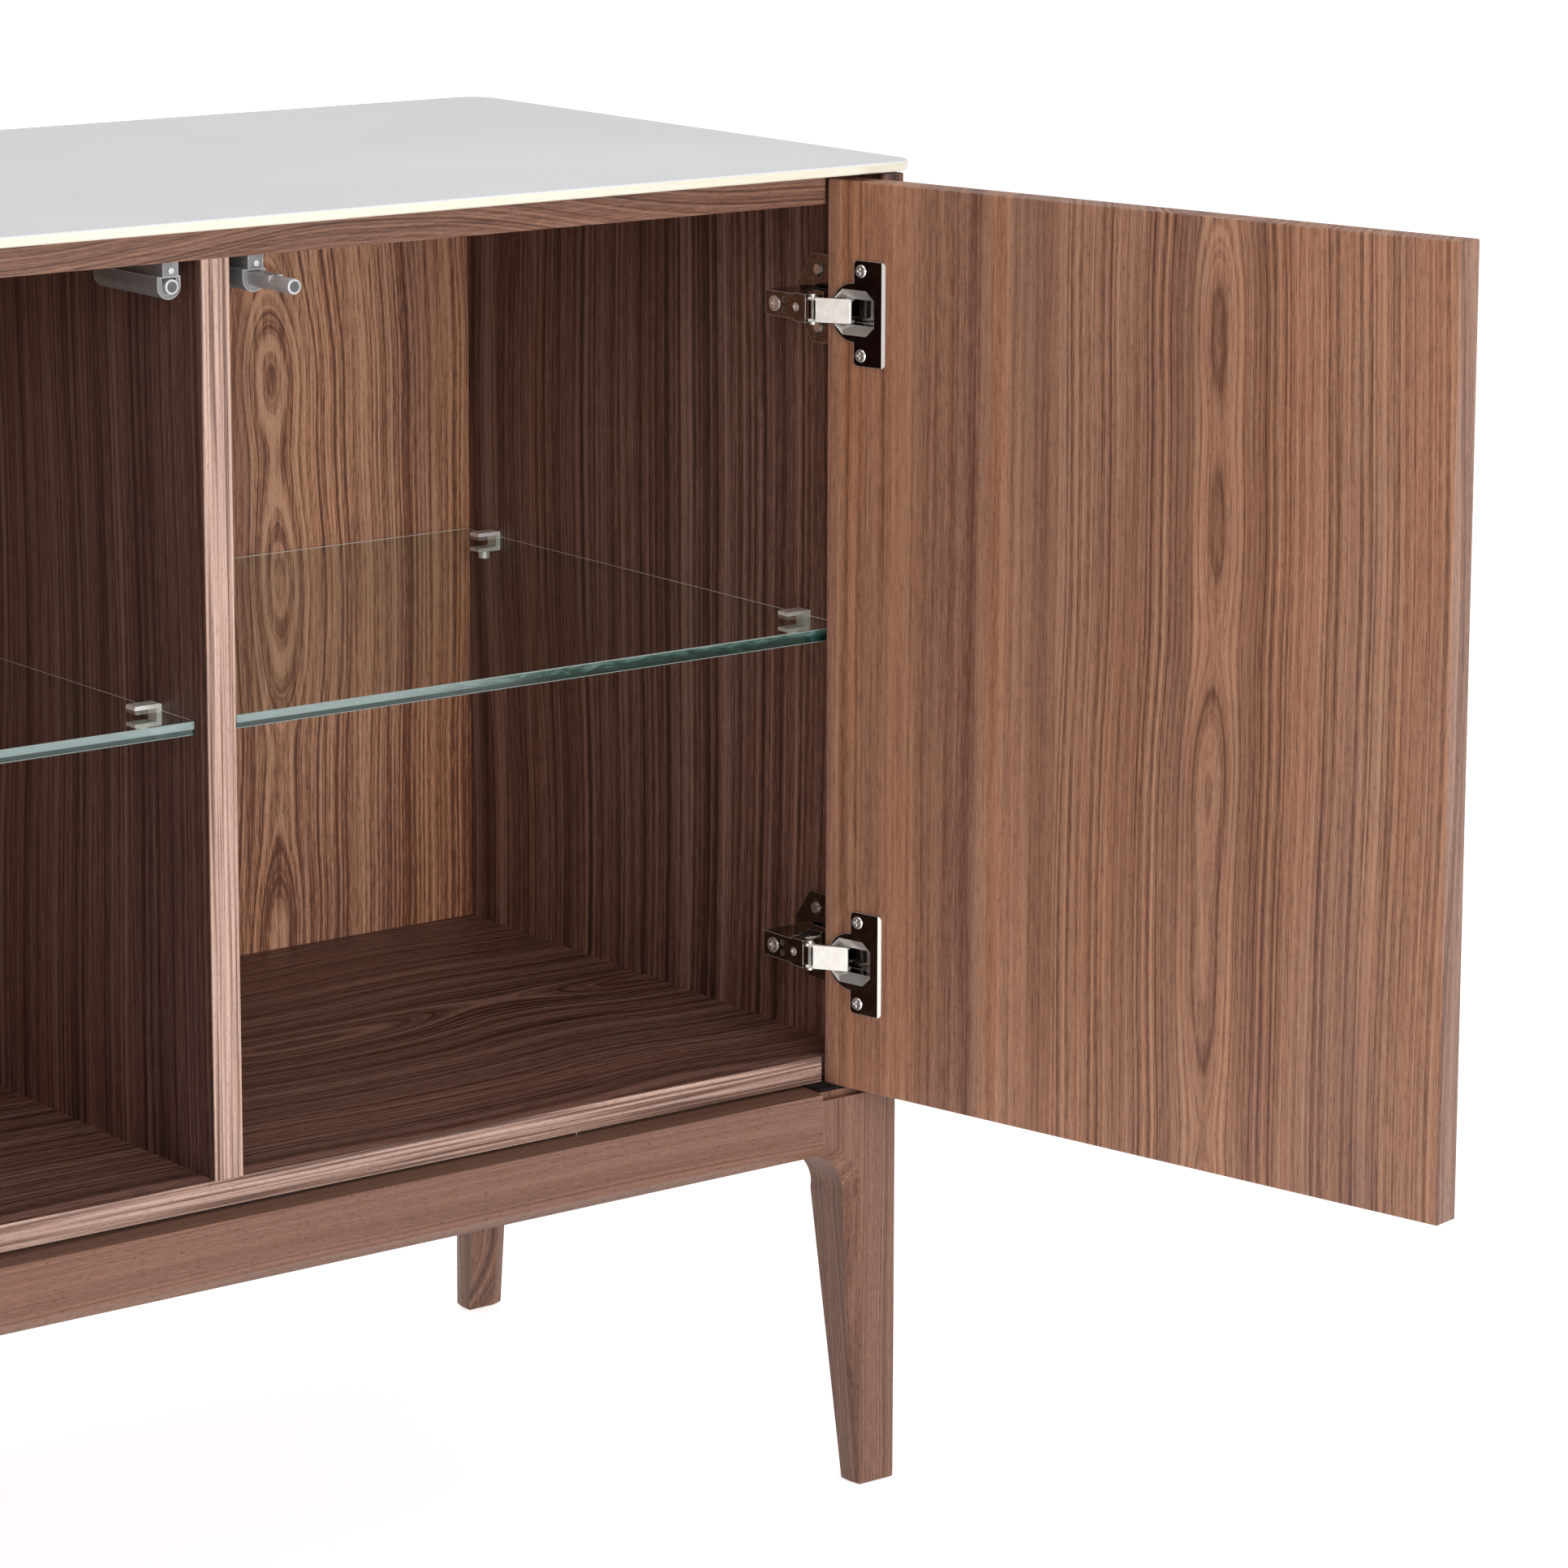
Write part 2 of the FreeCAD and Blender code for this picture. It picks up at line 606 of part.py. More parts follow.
save("shelf_right", shelf_right())
save("shelf_left", mirror(shelf_right()))
save("shelf_clamps", at_clamps(clamp))
save("shelf_clamp_screws", at_clamps(clamp_screw))
save("shelf_clamp_pins", clamp_pins(1.5))

save("hinge_plates", both_sides(at_hinges(hinge_plate())))
save("hinge_plate_screws", plate_screws(1.9, True))
save("hinge_arms", both_sides(at_hinges(hinge_arm())))
save("hinge_arm_screws", both_sides([s for screw in arm_screws() for s in at_hinges(screw)]))
save("hinge_arm_pins", both_sides(at_hinges(arm_pin())))

lower_link, upper_link = at_hinges(placed_link())
save("hinge_link_right_lower", lower_link.copy())
save("hinge_link_right_upper", upper_link.copy())
save("hinge_link_left_lower", mirror(lower_link))
save("hinge_link_left_upper", mirror(upper_link))

door_pieces = {
    "door": [door()],
    "hinge_cups": at_cups(hinge_cup()),
    "hinge_cup_pins": at_cups(cup_pin()),
    "hinge_cup_screws": [s for screw in cup_screw(1.6, True) for s in at_cups(screw)],
}
for name, shapes in door_pieces.items():
    placed = [on_open_door(shape) for shape in shapes]
    save(name + "_right", [shape.copy() for shape in placed])
    save(name + "_left", [mirror(shape) for shape in placed])

save("latch_housings", both_sides([housing_screw_bored(latch_housing())]))
save("latch_screws", both_sides([latch_screw()]))
save("latch_plunger_right", latch_plunger(LATCH_TIP))
save("latch_cap_right", latch_cap(LATCH_TIP))
save("latch_plunger_left", mirror(latch_plunger(LATCH_TIP + LATCH_STROKE)))
save("latch_cap_left", mirror(latch_cap(LATCH_TIP + LATCH_STROKE)))
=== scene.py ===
import json
import math

import bpy
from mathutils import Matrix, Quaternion, Vector


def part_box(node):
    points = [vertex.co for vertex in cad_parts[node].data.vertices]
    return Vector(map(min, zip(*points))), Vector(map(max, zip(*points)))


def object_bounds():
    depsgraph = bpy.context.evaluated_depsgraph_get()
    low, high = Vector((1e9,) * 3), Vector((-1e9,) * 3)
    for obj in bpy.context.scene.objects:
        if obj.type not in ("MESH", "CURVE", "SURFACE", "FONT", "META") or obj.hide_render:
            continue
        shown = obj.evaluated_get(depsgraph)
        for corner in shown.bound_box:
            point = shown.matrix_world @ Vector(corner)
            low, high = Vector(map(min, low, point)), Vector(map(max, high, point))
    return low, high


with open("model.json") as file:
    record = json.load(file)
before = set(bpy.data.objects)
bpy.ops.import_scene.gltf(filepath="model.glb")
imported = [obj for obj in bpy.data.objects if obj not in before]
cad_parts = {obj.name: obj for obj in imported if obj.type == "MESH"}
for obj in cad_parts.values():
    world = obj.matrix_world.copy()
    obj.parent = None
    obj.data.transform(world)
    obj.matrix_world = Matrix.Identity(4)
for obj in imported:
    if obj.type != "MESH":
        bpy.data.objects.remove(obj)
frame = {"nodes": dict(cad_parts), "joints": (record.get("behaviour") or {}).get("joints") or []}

cad_low, cad_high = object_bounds()
NODES = frame["nodes"]
JOINTS = {joint["name"]: joint for joint in frame["joints"]}


# ---------------------------------------------------------------- shader helpers
class Graph:
    """A material's node tree, with short calls for the nodes that it uses. Wherever a call takes
    a value, it may be a socket to link, a number or a colour."""

    def __init__(self, name):
        self.material = bpy.data.materials.new(name)
        self.material.use_nodes = True
        self.tree = self.material.node_tree
        self.tree.nodes.clear()
        self.out = self.tree.nodes.new("ShaderNodeOutputMaterial")

    def node(self, kind, **settings):
        made = self.tree.nodes.new(kind)
        for key, value in settings.items():
            setattr(made, key, value)
        return made

    def put(self, value, socket):
        if isinstance(value, bpy.types.NodeSocket):
            self.tree.links.new(value, socket)
        elif socket.type == "RGBA":
            socket.default_value = (*value, 1)
        else:
            socket.default_value = value

    # -- numbers
    def math(self, operation, a, b=0.0):
        made = self.node("ShaderNodeMath", operation=operation)
        self.put(a, made.inputs[0])
        self.put(b, made.inputs[1])
        return made.outputs[0]

    def add(self, a, b):
        return self.math("ADD", a, b)

    def less(self, a, b):
        return self.math("SUBTRACT", a, b)

    def times(self, a, b):
        return self.math("MULTIPLY", a, b)

    def greater_of(self, a, b):
        return self.math("MAXIMUM", a, b)

    def magnitude(self, value):
        return self.math("ABSOLUTE", value)

    def is_above(self, value, limit):
        return self.math("GREATER_THAN", value, limit)

    def is_below(self, value, limit):
        return self.math("LESS_THAN", value, limit)

    def swing(self, noise, size):
        """A noise's departure from its middle value, 0.5, times a size."""
        return self.times(self.less(noise, 0.5), size)

    def stretched(self, tone, gain):
        """A tone with its contrast about 0.5 raised or lowered."""
        return self.add(self.swing(tone, gain), 0.5)

    def span(self, value, low, high, to_low=0.0, to_high=1.0):
        """A smooth step of the value from to_low at low to to_high at high."""
        made = self.node("ShaderNodeMapRange", interpolation_type="SMOOTHSTEP")
        self.put(value, made.inputs["Value"])
        for key, number in zip(("From Min", "From Max", "To Min", "To Max"),
                               (low, high, to_low, to_high)):
            made.inputs[key].default_value = number
        return made.outputs[0]

    # -- places
    def vector(self, x, y, z):
        made = self.node("ShaderNodeCombineXYZ")
        for value, socket in zip((x, y, z), made.inputs):
            self.put(value, socket)
        return made.outputs[0]

    def parts(self, vector):
        made = self.node("ShaderNodeSeparateXYZ")
        self.put(vector, made.inputs[0])
        return made.outputs

    def spot(self):
        """The place in the object's own space, which is the frame's space at rest."""
        return self.node("ShaderNodeTexCoord").outputs["Object"]

    def facing(self):
        """The x, y and z of the normal in the object's own space."""
        return self.parts(self.node("ShaderNodeTexCoord").outputs["Normal"])

    def board_axes(self, middle, turn):
        """The x, y and z from a middle point, turned about the upright by -turn degrees."""
        shift = self.node("ShaderNodeVectorMath", operation="SUBTRACT")
        self.put(self.spot(), shift.inputs[0])
        shift.inputs[1].default_value = middle
        if not turn:
            return self.parts(shift.outputs[0])
        rotate = self.node("ShaderNodeVectorRotate", rotation_type="Z_AXIS")
        self.put(shift.outputs[0], rotate.inputs["Vector"])
        rotate.inputs["Angle"].default_value = math.radians(-turn)
        return self.parts(rotate.outputs[0])

    def edges(self, radius):
        """1 along the edges of the mesh, within a radius in metres, and 0 elsewhere."""
        bevel = self.node("ShaderNodeBevel", samples=4)
        bevel.inputs["Radius"].default_value = radius
        flat = self.node("ShaderNodeNewGeometry")
        dot = self.node("ShaderNodeVectorMath", operation="DOT_PRODUCT")
        self.put(bevel.outputs[0], dot.inputs[0])
        self.put(flat.outputs["Normal"], dot.inputs[1])
        return self.span(dot.outputs["Value"], 0.86, 0.985, 1.0, 0.0)

    # -- noise
    def noise(self, vector, scale, detail=2.0, roughness=0.5, distortion=0.0):
        """Noise 0 to 1. scale is its frequency per metre: one number, or one for each axis."""
        if isinstance(scale, tuple):
            stretch = self.node("ShaderNodeVectorMath", operation="MULTIPLY")
            self.put(vector, stretch.inputs[0])
            stretch.inputs[1].default_value = scale
            vector = stretch.outputs[0]
            scale = 1.0
        made = self.node("ShaderNodeTexNoise")
        self.put(vector, made.inputs["Vector"])
        made.inputs["Scale"].default_value = scale
        made.inputs["Detail"].default_value = detail
        made.inputs["Roughness"].default_value = roughness
        made.inputs["Distortion"].default_value = distortion
        return made.outputs[0]

    def noise_1d(self, value, scale, detail, roughness):
        made = self.node("ShaderNodeTexNoise", noise_dimensions="1D")
        self.put(value, made.inputs["W"])
        made.inputs["Scale"].default_value = scale
        made.inputs["Detail"].default_value = detail
        made.inputs["Roughness"].default_value = roughness
        return made.outputs[0]

    # -- colours, bump and shaders
    def ramp(self, value, places, colours):
        made = self.node("ShaderNodeValToRGB")
        made.color_ramp.interpolation = "B_SPLINE"
        for _ in range(len(places) - 2):
            made.color_ramp.elements.new(0.5)
        for element, place, colour in zip(made.color_ramp.elements, places, colours):
            element.position = place
            element.color = (*colour, 1)
        self.put(value, made.inputs[0])
        return made.outputs[0]

    def mix(self, share, a, b, blend="MIX"):
        made = self.node("ShaderNodeMix", data_type="RGBA", blend_type=blend)
        self.put(share, made.inputs[0])
        self.put(a, made.inputs[6])
        self.put(b, made.inputs[7])
        return made.outputs[2]

    def tint(self, share, colour, by):
        return self.mix(share, colour, by, "MULTIPLY")

    def bump(self, height, strength, distance):
        made = self.node("ShaderNodeBump")
        made.inputs["Strength"].default_value = strength
        made.inputs["Distance"].default_value = distance
        self.put(height, made.inputs["Height"])
        return made.outputs[0]

    def shader(self, kind, **inputs):
        made = self.node(kind)
        for key, value in inputs.items():
            self.put(value, made.inputs[key.replace("_", " ")])
        return made.outputs[0]

    def mix_shader(self, share, a, b):
        made = self.node("ShaderNodeMixShader")
        for value, socket in zip((share, a, b), made.inputs):
            self.put(value, socket)
        return made.outputs[0]

    def finish(self, shader):
        self.put(shader, self.out.inputs[0])
        return self.material

    def surface(self, **inputs):
        return self.finish(self.shader("ShaderNodeBsdfPrincipled", **inputs))


def paint(nodes, material):
    for node in nodes:
        data = NODES[node].data
        data.materials.clear()
        data.materials.append(material)


def starting(*words):
    """The nodes whose names start with one of the words."""
    return [node for node in NODES if node.startswith(words)]


# ---------------------------------------------------------------- walnut
# Linear colours: darkest line, brown, lighter brown, palest streak.
DOOR_TONES = ((0.100, 0.040, 0.024), (0.220, 0.104, 0.067), (0.305, 0.155, 0.102), (0.390, 0.212, 0.137))
INNER_TONES = ((0.038, 0.016, 0.013), (0.116, 0.054, 0.041), (0.194, 0.098, 0.076), (0.304, 0.173, 0.132))
DARK_TONES = ((0.031, 0.014, 0.013), (0.088, 0.042, 0.037), (0.146, 0.074, 0.066), (0.234, 0.134, 0.117))
BACK_TONES = ((0.115, 0.042, 0.022), (0.270, 0.118, 0.066), (0.400, 0.196, 0.116), (0.520, 0.282, 0.180))
BASE_TONES = ((0.060, 0.023, 0.014), (0.127, 0.058, 0.036), (0.171, 0.083, 0.053), (0.226, 0.117, 0.078))
BAND_TONES = ((0.055, 0.025, 0.017), (0.175, 0.094, 0.070), (0.420, 0.272, 0.212), (0.550, 0.385, 0.315))

# Factors on the colour.
GOLD = (1.16, 1.10, 1.00)
DUSK = (0.80, 0.75, 0.73)
WARM_CLOUD = (1.10, 1.02, 0.92)
DARK_CLOUD = (0.66, 0.62, 0.62)
COOL_EDGE = (0.78, 0.90, 1.02)
PORE_SHADE = (0.30, 0.26, 0.25)

# Noise frequencies per metre: across the grain, into the board and along the grain.
BEND_SCALE = (1.6, 1.6, 1.7)
DEPTH_SCALE = (0.4, 0.4, 4.6)
STREAK_SCALE = (420, 420, 4.0)
FIBRE_SCALE = (1300, 1300, 75)
PORE_SCALE = (2300, 2300, 190)
WARM_SCALE = (14, 14, 1.6)
DARK_SCALE = (34, 34, 1.1)
BAND_SCALE = (520, 520, 5.0)

TONE_PLACES = (0.08, 0.36, 0.62, 0.92)
BAND_PLACES = (0.33, 0.45, 0.58, 0.75)

# The lines run this far sideways for each metre into the board, so the narrow edges show them too.
EDGE_SLANT = 0.6

# Which of x, y and z run across the grain, into the board and along the grain.
GRAINS = {"z": (0, 1, 2), "x": (2, 1, 0), "y": (2, 0, 1), "side": (1, 0, 2)}


def seeded(g, place, seed):
    """The place as one vector, moved to another part of the noise by the seed."""
    across, into, along = place
    return g.vector(g.add(across, seed), into, g.add(along, seed * 1.7))


def leaf(g, place, seed, heart, dip, sway, lines):
    """How pale one leaf of veneer is, 0 to 1, and how far across it a point lies once the grain
    is straightened. The rings lie round a heart line that dips in and out of the leaf, so they
    are cathedrals near the heart and straight lines beside it. heart is (across, into the
    board); dip and sway are in metres; lines is rings per metre."""
    across, into, along = place
    spot = seeded(g, place, seed)
    straight = g.add(across, g.swing(g.noise(spot, BEND_SCALE, 1.0), sway))
    side = g.less(straight, heart[0])
    below = g.add(g.swing(g.noise(spot, DEPTH_SCALE, 1.0), dip), g.less(into, heart[1]))
    away = g.math("SQRT", g.add(g.times(side, side), g.times(below, below)))
    fine = g.noise_1d(g.add(away, seed), lines, 3.0, 0.65)
    broad = g.noise_1d(g.add(away, seed * 0.3), lines * 0.2, 2.0, 0.5)
    near_heart = g.span(g.magnitude(side), 0.02, 0.07, 1.35, 1.0)
    fine = g.stretched(fine, near_heart)
    return g.add(g.times(fine, 0.66), g.times(broad, 0.34)), straight


def two_leaves(g, place, seed, seam, heart, tone):
    """The leaf with the heart, given as tone, and past the seam a smoother one with straight lines."""
    other, straight = leaf(g, place, seed + 4.0, (-0.9, 0.0), 0.01, 0.016, 85.0)
    other = g.stretched(other, 0.75)
    heart_side = g.is_above(place[0], seam)
    if heart[0] < seam:
        heart_side = g.less(1.0, heart_side)
    tone = g.add(g.times(tone, heart_side), g.times(other, g.less(1.0, heart_side)))
    return tone, straight


def walnut(name, tones, grain="z", node=None, turn=0.0, seed=0.0, heart=(0.6, 0.0), dip=0.06,
           sway=0.03, lines=330.0, contrast=2.3, painted_light_rise=0.0, pores=1.0, face=0.0, seam=None,
           streaks=(), band_depth=None, band_lift=0.0, cool_edge=False):
    """Sliced walnut veneer.

    Places are in metres from the middle of the node's box, and turn is how far the node is
    turned about the upright at rest, in degrees. heart, dip, sway and lines are those of leaf.
    rise is painted light: how much paler the leaf gets along the grain, per metre, standing in for more
    light towards the top. face is the depth of the shown face, seam the place of a joint between two
    leaves, and streaks are (place, half width, tint). Up to band_depth in y the board shows a pale edge
    band, paler by band_lift.
    cool_edge is for the free edge of a door, which lies towards -y."""
    g = Graph(name)
    middle = Vector((0, 0, 0))
    if node:
        low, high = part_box(node)
        middle = (low + high) / 2
    axes = g.board_axes(middle, turn)
    across, into, along = (axes[index] for index in GRAINS[grain])
    across = g.add(across, g.times(g.less(into, face), EDGE_SLANT))
    place = (across, into, along)
    spot = seeded(g, place, seed)

    tone, straight = leaf(g, place, seed, heart, dip, sway, lines)
    if seam is not None:
        tone, straight = two_leaves(g, place, seed, seam, heart, tone)
    fibre = g.noise(spot, FIBRE_SCALE, 2.0, 0.7)
    tone = g.add(tone, g.swing(g.noise(spot, STREAK_SCALE, 2.0, 0.6), 0.34))
    tone = g.add(tone, g.swing(fibre, 0.42))
    # painted light: the board gets paler along the grain by rise per metre
    tone = g.add(tone, g.times(along, painted_light_rise))
    tone = g.stretched(tone, contrast)

    colour = g.ramp(tone, TONE_PLACES, tones)
    colour = g.tint(g.span(g.noise(spot, WARM_SCALE), 0.35, 0.68), colour, WARM_CLOUD)
    colour = g.tint(g.span(g.noise(spot, DARK_SCALE), 0.50, 0.72, 0.0, 0.8), colour, DARK_CLOUD)
    for where, half_width, tint in streaks:
        gap = g.magnitude(g.less(straight, where))
        colour = g.tint(g.span(gap, half_width * 0.55, half_width * 1.35, 0.9, 0.0), colour, tint)
    if band_depth is not None:
        band = g.ramp(g.add(g.noise(spot, BAND_SCALE, 2.0, 0.6), band_lift), BAND_PLACES, BAND_TONES)
        colour = g.mix(g.is_below(axes[1], band_depth - middle.y), colour, band)
    if cool_edge:
        colour = g.tint(g.is_below(g.facing()[1], -0.8), colour, COOL_EDGE)

    # open pores: short dark dashes along the grain
    pore = g.span(g.noise(spot, PORE_SCALE, 1.0, 0.5), 0.58, 0.70, 0.0, min(0.9, 0.5 * pores))
    colour = g.tint(pore, colour, PORE_SHADE)
    height = g.less(g.times(fibre, 0.4), pore)
    rough = g.add(g.add(g.times(fibre, 0.12), g.times(pore, 0.2)), 0.42)
    return g.surface(Base_Color=colour, Roughness=rough, Normal=g.bump(height, 0.2, 0.0003),
                     Specular_IOR_Level=0.35)


# ---------------------------------------------------------------- metal
# The painted highlight on nickel edges: a pale colour and a lower metallic.
NICKEL_EDGE_HIGHLIGHT = (0.86, 0.83, 0.79)
HIGHLIGHT_METALLIC = 0.35


def nickel(name, dark, light, metallic=1.0, satin=0.07, lit_slope=None):
    """Nickel plate with a painted highlight along its edges. lit_slope is the y of the object-space normal
    of a ground bevel, which gets the painted highlight all over, as do facets that lean halfway up or down."""
    g = Graph(name)
    spot = g.spot()
    haze = g.noise(spot, 180.0, 3.0, 0.6)
    scuff = g.span(g.noise(spot, (900, 900, 160), 2.0, 0.7), 0.55, 0.8)
    rough = g.add(g.add(g.times(haze, 0.10), g.times(scuff, 0.10)), satin)
    # painted highlight: the edges, and with lit_slope the ground bevel and leaning facets, go pale and less
    # metallic
    painted_highlight = g.edges(0.0006)
    if lit_slope is not None:
        facing = g.facing()
        off_slope = g.magnitude(g.less(facing[1], lit_slope))
        painted_highlight = g.greater_of(painted_highlight, g.span(off_slope, 0.03, 0.07, 1.0, 0.0))
        lean = g.magnitude(facing[2])
        facet = g.times(g.span(lean, 0.30, 0.45, 0.0, 0.6), g.span(lean, 0.80, 0.95, 1.0, 0.0))
        painted_highlight = g.greater_of(painted_highlight, facet)
    colour = g.mix(g.span(haze, 0.35, 0.7), dark, light)
    colour = g.mix(painted_highlight, colour, NICKEL_EDGE_HIGHLIGHT)
    shine = g.less(metallic, g.times(painted_highlight, metallic - HIGHLIGHT_METALLIC))
    return g.surface(Base_Color=colour, Metallic=shine, Roughness=rough, Normal=g.bump(haze, 0.05, 0.0003))


def zinc():
    g = Graph("zinc_plate")
    mottled = g.noise(g.spot(), 420.0, 3.0, 0.65)
    colour = g.mix(mottled, (0.42, 0.42, 0.43), (0.62, 0.62, 0.60))
    rough = g.add(g.times(mottled, 0.25), 0.22)
    return g.surface(Base_Color=colour, Metallic=1.0, Roughness=rough, Normal=g.bump(mottled, 0.1, 0.0002))


# ---------------------------------------------------------------- glass
def frosted_top():
    """Satin etched glass, painted behind: pale and cool on the face, cream at the ground edge."""
    g = Graph("glass_top_satin")
    low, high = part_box("glass_top")
    spot = g.spot()
    cloud = g.noise(spot, 3.0, 3.0, 0.6)
    tooth = g.noise(spot, 2600.0, 2.0, 0.6)
    smear = g.noise(spot, (7, 16, 7), 4.0, 0.65, 0.4)
    layers = g.noise(spot, (60, 60, 900), 3.0, 0.6)
    face = g.mix(g.span(cloud, 0.3, 0.7), (0.585, 0.597, 0.61), (0.635, 0.645, 0.655))
    edge = g.mix(layers, (0.60, 0.555, 0.45), (0.74, 0.70, 0.59))
    on_edge = g.span(g.parts(spot)[2], high.z - 0.0011, high.z - 0.0004, 1.0, 0.0)
    rough = g.add(g.times(smear, 0.16), 0.30)
    return g.surface(Base_Color=g.mix(on_edge, face, edge), Roughness=rough,
                     Normal=g.bump(tooth, 0.10, 0.0001), Coat_Weight=0.25, Coat_Roughness=0.22,
                     Specular_IOR_Level=0.5)


GLASS_IOR = 1.5
PANE_GLOSS = 0.62
GREEN_PLACES = (0.34, 0.52, 0.64, 0.80)
GREENS = ((0.003, 0.016, 0.013), (0.010, 0.045, 0.037), (0.045, 0.11, 0.095), (0.20, 0.30, 0.28))


def shelf_glass():
    """Float glass: nearly clear through the faces, deep green through the ground front edge.
    Of the other edges only the upper bevel shows, as a painted highlight line."""
    g = Graph("glass_shelf_clear")
    low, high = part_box("shelf_right")
    spot = g.spot()
    x, y, z = g.parts(spot)
    geometry = g.node("ShaderNodeNewGeometry")
    upright = g.magnitude(g.parts(geometry.outputs["Normal"])[2])
    on_face = g.is_above(upright, 0.93)
    on_bevel = g.less(g.is_above(upright, 0.3), on_face)
    in_front = g.is_below(y, low.y + 0.004)
    in_upper_half = g.is_above(z, (low.z + high.z) / 2)

    # the faces: light passes, and only their outer side mirrors
    smear = g.noise(spot, (20, 30, 20), 3.0, 0.6)
    clear = g.shader("ShaderNodeBsdfTransparent", Color=(0.93, 0.965, 0.95))
    gloss = g.shader("ShaderNodeBsdfGlossy", Color=(0.95, 0.97, 0.96),
                     Roughness=g.add(g.times(smear, 0.03), 0.01))
    fresnel = g.shader("ShaderNodeFresnel", IOR=GLASS_IOR)
    outside = g.less(PANE_GLOSS, g.times(geometry.outputs["Backfacing"], PANE_GLOSS))
    pane = g.mix_shader(g.times(fresnel, outside), clear, gloss)

    # the front edge: streaks of light and dark green, as the far edges show through it; towards
    #     the middle of the cupboard its upper half has a painted reflection of the white room
    streak = g.noise(spot, (55, 55, 240), 3.0, 0.7, 0.8)
    layer = g.span(z, low.z + 0.0008, high.z - 0.0008)
    green = g.ramp(g.add(g.times(streak, 0.7), g.times(layer, 0.3)), GREEN_PLACES, GREENS)
    # painted reflection: the upper half of the front edge goes pale grey-teal towards the middle
    painted_reflection = g.times(g.span(x, 0.10, 0.24, 0.8, 0.0), g.span(layer, 0.30, 0.45))
    green = g.mix(painted_reflection, green, (0.26, 0.34, 0.34))
    front_edge = g.shader("ShaderNodeBsdfPrincipled", Base_Color=green, Roughness=0.12,
                          Specular_IOR_Level=0.7, Transmission_Weight=0.25, IOR=GLASS_IOR)
    other_edge = g.shader("ShaderNodeBsdfTransparent", Color=(0.90, 0.94, 0.93))
    # painted highlight on the upper bevel: pale on the side and back edges, grey-teal on the front edge
    bevel_colour = g.mix(in_front, (0.95, 0.93, 0.90), (0.26, 0.32, 0.31))
    bevel = g.shader("ShaderNodeBsdfPrincipled", Base_Color=bevel_colour, Roughness=0.2)

    edge = g.mix_shader(in_front, other_edge, front_edge)
    edge = g.mix_shader(g.times(on_bevel, g.greater_of(in_front, in_upper_half)), edge, bevel)
    return g.finish(g.mix_shader(on_face, edge, pane))


# ---------------------------------------------------------------- plastic, felt, dowel wood
def plastic(name, dark, light, rough, metallic=0.0, rim=0.3):
    """Fine-grained plastic or satin metal. rim is how far its edges go to a pale grey, a painted highlight.
    """
    g = Graph(name)
    spot = g.spot()
    grit = g.noise(spot, 1800.0, 2.0, 0.6)
    cloud = g.noise(spot, 70.0, 3.0, 0.6)
    colour = g.mix(g.span(cloud, 0.3, 0.7), dark, light)
    # painted highlight: the edges go towards a pale grey, by rim
    colour = g.mix(g.times(g.edges(0.0007), rim), colour, (0.85, 0.85, 0.84))
    uneven = g.add(g.times(cloud, 0.15), rough - 0.07)
    return g.surface(Base_Color=colour, Metallic=metallic, Roughness=uneven,
                     Normal=g.bump(grit, 0.15, 0.0002))


def felt():
    g = Graph("felt_black")
    spot = g.spot()
    hair = g.noise(spot, 1500.0, 4.0, 0.8, 1.5)
    clump = g.noise(spot, 320.0, 3.0, 0.6)
    colour = g.mix(g.times(hair, clump), (0.004, 0.004, 0.004), (0.048, 0.043, 0.040))
    return g.surface(Base_Color=colour, Roughness=0.95, Specular_IOR_Level=0.15,
                     Normal=g.bump(hair, 0.9, 0.0012))


def beech():
    g = Graph("beech_plain")
    spot = g.spot()
    line = g.noise(spot, (40, 600, 600), 3.0, 0.6)
    fleck = g.span(g.noise(spot, (300, 900, 900), 2.0, 0.6), 0.6, 0.7)
    colour = g.mix(line, (0.42, 0.26, 0.14), (0.58, 0.41, 0.25))
    colour = g.mix(g.times(fleck, 0.5), colour, (0.30, 0.16, 0.08))
    return g.surface(Base_Color=colour, Roughness=0.6, Normal=g.bump(line, 0.2, 0.0003))


# ---------------------------------------------------------------- the doors
# The direction from the right door's hinge side to its free edge at rest, in degrees from +x.
DOOR_TURN = 180.0 - JOINTS["door_right_swing"]["range_deg"][0]
# Half a door's width, and its inner face's depth from the middle of the door.
HALF_DOOR = 0.2295
INNER_FACE = -0.0095
# Places across the right door's inner face, from its hinge side.
SEAM = 0.178
HEART = 0.294
STREAKS = ((0.018, 0.010, GOLD), (0.132, 0.008, GOLD), (0.171, 0.009, DUSK))

# The left door's leaves mirror the right one's, so its places have the other sign.
for side, sign, seed in (("right", 1, 0.0), ("left", -1, 3.1)):
    node = "door_" + side
    streaks = tuple((sign * (place - HALF_DOOR), width, tint) for place, width, tint in STREAKS)
    paint([node], walnut("walnut_" + node, DOOR_TONES, "z", node, sign * DOOR_TURN, seed, cool_edge=True,
                         face=INNER_FACE, seam=sign * (SEAM - HALF_DOOR), streaks=streaks,
                         heart=(sign * (HEART - HALF_DOOR), 0.007), dip=0.036))

# ---------------------------------------------------------------- the carcass
# The front edges of the partition and the floor panel have an edge band 1.2 mm thick.
low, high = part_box("partition")
BAND_DEPTH = low.y + 0.0012

for side, seed in (("right", 5.0), ("left", 8.0)):
    node = "side_panel_" + side
    paint([node], walnut("walnut_side_" + side, INNER_TONES, "side", node, seed=seed, contrast=3.0,
                         lines=210.0, sway=0.06))
paint(["partition"], walnut("walnut_partition", DARK_TONES, "side", "partition", seed=11.0, contrast=2.9,
                            lines=250.0, sway=0.06, band_depth=BAND_DEPTH, band_lift=0.07))
